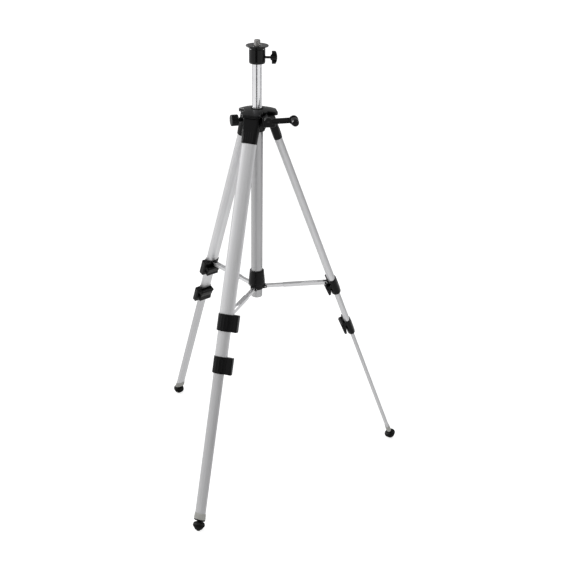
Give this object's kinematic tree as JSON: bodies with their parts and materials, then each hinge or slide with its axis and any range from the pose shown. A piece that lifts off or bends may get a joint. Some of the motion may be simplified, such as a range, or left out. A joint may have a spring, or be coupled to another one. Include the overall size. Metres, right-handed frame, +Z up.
{
  "type": "elevating tripod",
  "caption": "Elevating tripod for a construction laser: telescopic oval legs with flip locks, a mid-level spreader and a geared crank column with a threaded mounting stud.",
  "frame": {"origin": "centre of the instrument plate's top face, on the column's axis, at the root of the mounting stud", "axes": "+Z up along the column and the stud; the front leg runs out along -Y"},
  "size_m": [0.7164, 0.6247, 1.1765],
  "materials": {
    "black_plastic": "satin moulded",
    "gloss_black": "semi-gloss",
    "leg_aluminium": "satin anodised",
    "column_chrome": "polished",
    "grey_cap": "satin",
    "foot_rubber": "matte",
    "grip_rubber": "satin",
    "nylon": "matte",
    "steel": "plated"
  },
  "bodies": {
    "hub": {"hub_body": "black_plastic", "hub_cap": "black_plastic", "column_bush": "nylon", "guide_tube": "leg_aluminium", "guide_tube_end": "leg_aluminium", "leg_pivot_pins": "steel", "brake_shoe": "nylon"},
    "column": {"column_tube": "column_chrome", "column_rack": "steel", "column_end_plug": "nylon"},
    "head": {"instrument_plate": "gloss_black", "mount_stud": "steel", "head_cup": "gloss_black"},
    "head_clamp": {"head_clamp_screw": "steel", "head_knob": "black_plastic"},
    "column_lock": {"lock_screw": "steel", "lock_knob": "black_plastic"},
    "crank": {"crank_shaft": "steel", "drive_pinion": "nylon", "crank_arm": "black_plastic"},
    "grip": {"crank_grip": "grip_rubber"},
    "collar": {"spreader_collar": "black_plastic", "brace_pins": "steel"},
    "front_leg": {"front_bracket": "black_plastic", "front_upper_tube": "leg_aluminium", "front_upper_lock": "black_plastic"},
    "front_upper_flip": {"front_upper_lever": "black_plastic"},
    "front_mid": {"front_mid_tube": "leg_aluminium", "front_lower_lock": "black_plastic"},
    "front_lower_flip": {"front_lower_lever": "black_plastic"},
    "front_lower": {"front_lower_tube": "leg_aluminium", "front_end_cap": "grey_cap"},
    "front_foot": {"front_rubber_foot": "foot_rubber"},
    "front_channel": {"front_brace": "leg_aluminium"},
    "front_tongue": {"front_brace_tongue": "leg_aluminium"},
    "left_leg": {"left_bracket": "black_plastic", "left_upper_tube": "leg_aluminium", "left_upper_lock": "black_plastic"},
    "left_upper_flip": {"left_upper_lever": "black_plastic"},
    "left_mid": {"left_mid_tube": "leg_aluminium", "left_lower_lock": "black_plastic"},
    "left_lower_flip": {"left_lower_lever": "black_plastic"},
    "left_lower": {"left_lower_tube": "leg_aluminium", "left_end_cap": "grey_cap"},
    "left_foot": {"left_rubber_foot": "foot_rubber"},
    "left_channel": {"left_brace": "leg_aluminium"},
    "left_tongue": {"left_brace_tongue": "leg_aluminium"},
    "right_leg": {"right_bracket": "black_plastic", "right_upper_tube": "leg_aluminium", "right_upper_lock": "black_plastic"},
    "right_upper_flip": {"right_upper_lever": "black_plastic"},
    "right_mid": {"right_mid_tube": "leg_aluminium", "right_lower_lock": "black_plastic"},
    "right_lower_flip": {"right_lower_lever": "black_plastic"},
    "right_lower": {"right_lower_tube": "leg_aluminium", "right_end_cap": "grey_cap"},
    "right_foot": {"right_rubber_foot": "foot_rubber"},
    "right_channel": {"right_brace": "leg_aluminium"},
    "right_tongue": {"right_brace_tongue": "leg_aluminium"}
  },
  "joints": [
    {"name": "column_slide", "type": "slide", "parent": "hub", "child": "column", "axis": [0, 0, 1], "range_m": [-0.108, 0.15]},
    {"name": "crank_turn", "type": "hinge", "parent": "hub", "child": "crank", "pos_m": [0.01485, 0.00857, -0.1715], "axis": [0.5, -0.866, 0], "range_deg": [-1377.1, 992.07]},
    {"name": "grip_spin", "type": "hinge", "parent": "crank", "child": "grip", "pos_m": [0.06939, 0.04006, -0.16985], "axis": [0.5, -0.866, 0], "continuous": true},
    {"name": "column_lock_turn", "type": "hinge", "parent": "hub", "child": "column_lock", "pos_m": [0, 0, -0.183], "axis": [-0.788, -0.6157, 0], "range_deg": [0, 540]},
    {"name": "head_pan", "type": "hinge", "parent": "column", "child": "head", "pos_m": [0, 0, 0], "axis": [0, 0, 1], "continuous": true},
    {"name": "head_clamp_turn", "type": "hinge", "parent": "head", "child": "head_clamp", "pos_m": [0, 0, -0.0295], "axis": [0.9397, 0.342, 0], "range_deg": [0, 540]},
    {"name": "front_leg_fold", "type": "hinge", "parent": "hub", "child": "front_leg", "pos_m": [0, -0.03649, -0.18998], "axis": [-1, 0, 0], "range_deg": [-19.6, 0]},
    {"name": "front_mid_slide", "type": "slide", "parent": "front_leg", "child": "front_mid", "axis": [0, -0.3515, -0.9362], "range_m": [-0.064, 0.3]},
    {"name": "front_lower_slide", "type": "slide", "parent": "front_mid", "child": "front_lower", "axis": [0, -0.3515, -0.9362], "range_m": [-0.365, 0.03]},
    {"name": "front_upper_lever_open", "type": "hinge", "parent": "front_leg", "child": "front_upper_flip", "pos_m": [0, -0.19162, -0.65748], "axis": [1, 0, 0], "range_deg": [0, 90]},
    {"name": "front_lower_lever_open", "type": "hinge", "parent": "front_mid", "child": "front_lower_flip", "pos_m": [0, -0.22852, -0.74777], "axis": [1, 0, 0], "range_deg": [0, 90]},
    {"name": "front_foot_turn", "type": "hinge", "parent": "front_lower", "child": "front_foot", "pos_m": [0, -0.39616, -1.14788], "axis": [0, -0.3515, -0.9362], "continuous": true},
    {"name": "front_brace_hinge", "type": "hinge", "parent": "front_leg", "child": "front_channel", "pos_m": [0, -0.187, -0.6445], "axis": [-1, 0, 0], "range_deg": [-69.57, 0.5]},
    {"name": "front_tongue_hinge", "type": "hinge", "parent": "collar", "child": "front_tongue", "pos_m": [0, -0.022, -0.6445], "axis": [-1, 0, 0], "range_deg": [-89.17, 0.5]},
    {"name": "left_leg_fold", "type": "hinge", "parent": "hub", "child": "left_leg", "pos_m": [-0.0316, 0.01824, -0.18998], "axis": [0.5, 0.866, 0], "range_deg": [-19.6, 0]},
    {"name": "left_mid_slide", "type": "slide", "parent": "left_leg", "child": "left_mid", "axis": [-0.3044, 0.1758, -0.9362], "range_m": [-0.059, 0.3]},
    {"name": "left_lower_slide", "type": "slide", "parent": "left_mid", "child": "left_lower", "axis": [-0.3044, 0.1758, -0.9362], "range_m": [-0.37, 0.025]},
    {"name": "left_upper_lever_open", "type": "hinge", "parent": "left_leg", "child": "left_upper_flip", "pos_m": [-0.16595, 0.09581, -0.65748], "axis": [-0.5, -0.866, 0], "range_deg": [0, 90]},
    {"name": "left_lower_lever_open", "type": "hinge", "parent": "left_mid", "child": "left_lower_flip", "pos_m": [-0.19638, 0.11338, -0.74309], "axis": [-0.5, -0.866, 0], "range_deg": [0, 90]},
    {"name": "left_foot_turn", "type": "hinge", "parent": "left_lower", "child": "left_foot", "pos_m": [-0.34308, 0.19808, -1.14788], "axis": [-0.3044, 0.1758, -0.9362], "continuous": true},
    {"name": "left_brace_hinge", "type": "hinge", "parent": "left_leg", "child": "left_channel", "pos_m": [-0.16195, 0.0935, -0.6445], "axis": [0.5, 0.866, 0], "range_deg": [-69.57, 0.5]},
    {"name": "left_tongue_hinge", "type": "hinge", "parent": "collar", "child": "left_tongue", "pos_m": [-0.01905, 0.011, -0.6445], "axis": [0.5, 0.866, 0], "range_deg": [-89.17, 0.5]},
    {"name": "right_leg_fold", "type": "hinge", "parent": "hub", "child": "right_leg", "pos_m": [0.0316, 0.01824, -0.18998], "axis": [0.5, -0.866, 0], "range_deg": [-19.6, 0]},
    {"name": "right_mid_slide", "type": "slide", "parent": "right_leg", "child": "right_mid", "axis": [0.3044, 0.1758, -0.9362], "range_m": [-0.09, 0.3]},
    {"name": "right_lower_slide", "type": "slide", "parent": "right_mid", "child": "right_lower", "axis": [0.3044, 0.1758, -0.9362], "range_m": [-0.339, 0.055]},
    {"name": "right_upper_lever_open", "type": "hinge", "parent": "right_leg", "child": "right_upper_flip", "pos_m": [0.16595, 0.09581, -0.65748], "axis": [-0.5, 0.866, 0], "range_deg": [0, 90]},
    {"name": "right_lower_lever_open", "type": "hinge", "parent": "right_mid", "child": "right_lower_flip", "pos_m": [0.20581, 0.11883, -0.77211], "axis": [-0.5, 0.866, 0], "range_deg": [0, 90]},
    {"name": "right_foot_turn", "type": "hinge", "parent": "right_lower", "child": "right_foot", "pos_m": [0.34308, 0.19808, -1.14788], "axis": [0.3044, 0.1758, -0.9362], "continuous": true},
    {"name": "right_brace_hinge", "type": "hinge", "parent": "right_leg", "child": "right_channel", "pos_m": [0.16195, 0.0935, -0.6445], "axis": [0.5, -0.866, 0], "range_deg": [-69.57, 0.5]},
    {"name": "right_tongue_hinge", "type": "hinge", "parent": "collar", "child": "right_tongue", "pos_m": [0.01905, 0.011, -0.6445], "axis": [0.5, -0.866, 0], "range_deg": [-89.17, 0.5]},
    {"name": "collar_slide", "type": "slide", "parent": "hub", "child": "collar", "axis": [0, 0, 1], "range_m": [-0.001, 0.142]}
  ],
  "couplings": [
    {"joint": "crank_turn", "follows": "column_slide", "rad_per_m": -160},
    {"joint": "front_brace_hinge", "follows": "front_leg_fold", "ratio": 3.5242},
    {"joint": "front_tongue_hinge", "follows": "front_leg_fold", "ratio": 4.5242},
    {"joint": "left_leg_fold", "follows": "front_leg_fold", "ratio": 1},
    {"joint": "left_brace_hinge", "follows": "front_leg_fold", "ratio": 3.5242},
    {"joint": "left_tongue_hinge", "follows": "front_leg_fold", "ratio": 4.5242},
    {"joint": "right_leg_fold", "follows": "front_leg_fold", "ratio": 1},
    {"joint": "right_brace_hinge", "follows": "front_leg_fold", "ratio": 3.5242},
    {"joint": "right_tongue_hinge", "follows": "front_leg_fold", "ratio": 4.5242},
    {"joint": "collar_slide", "follows": "front_leg_fold", "m_per_rad": -0.41161}
  ]
}
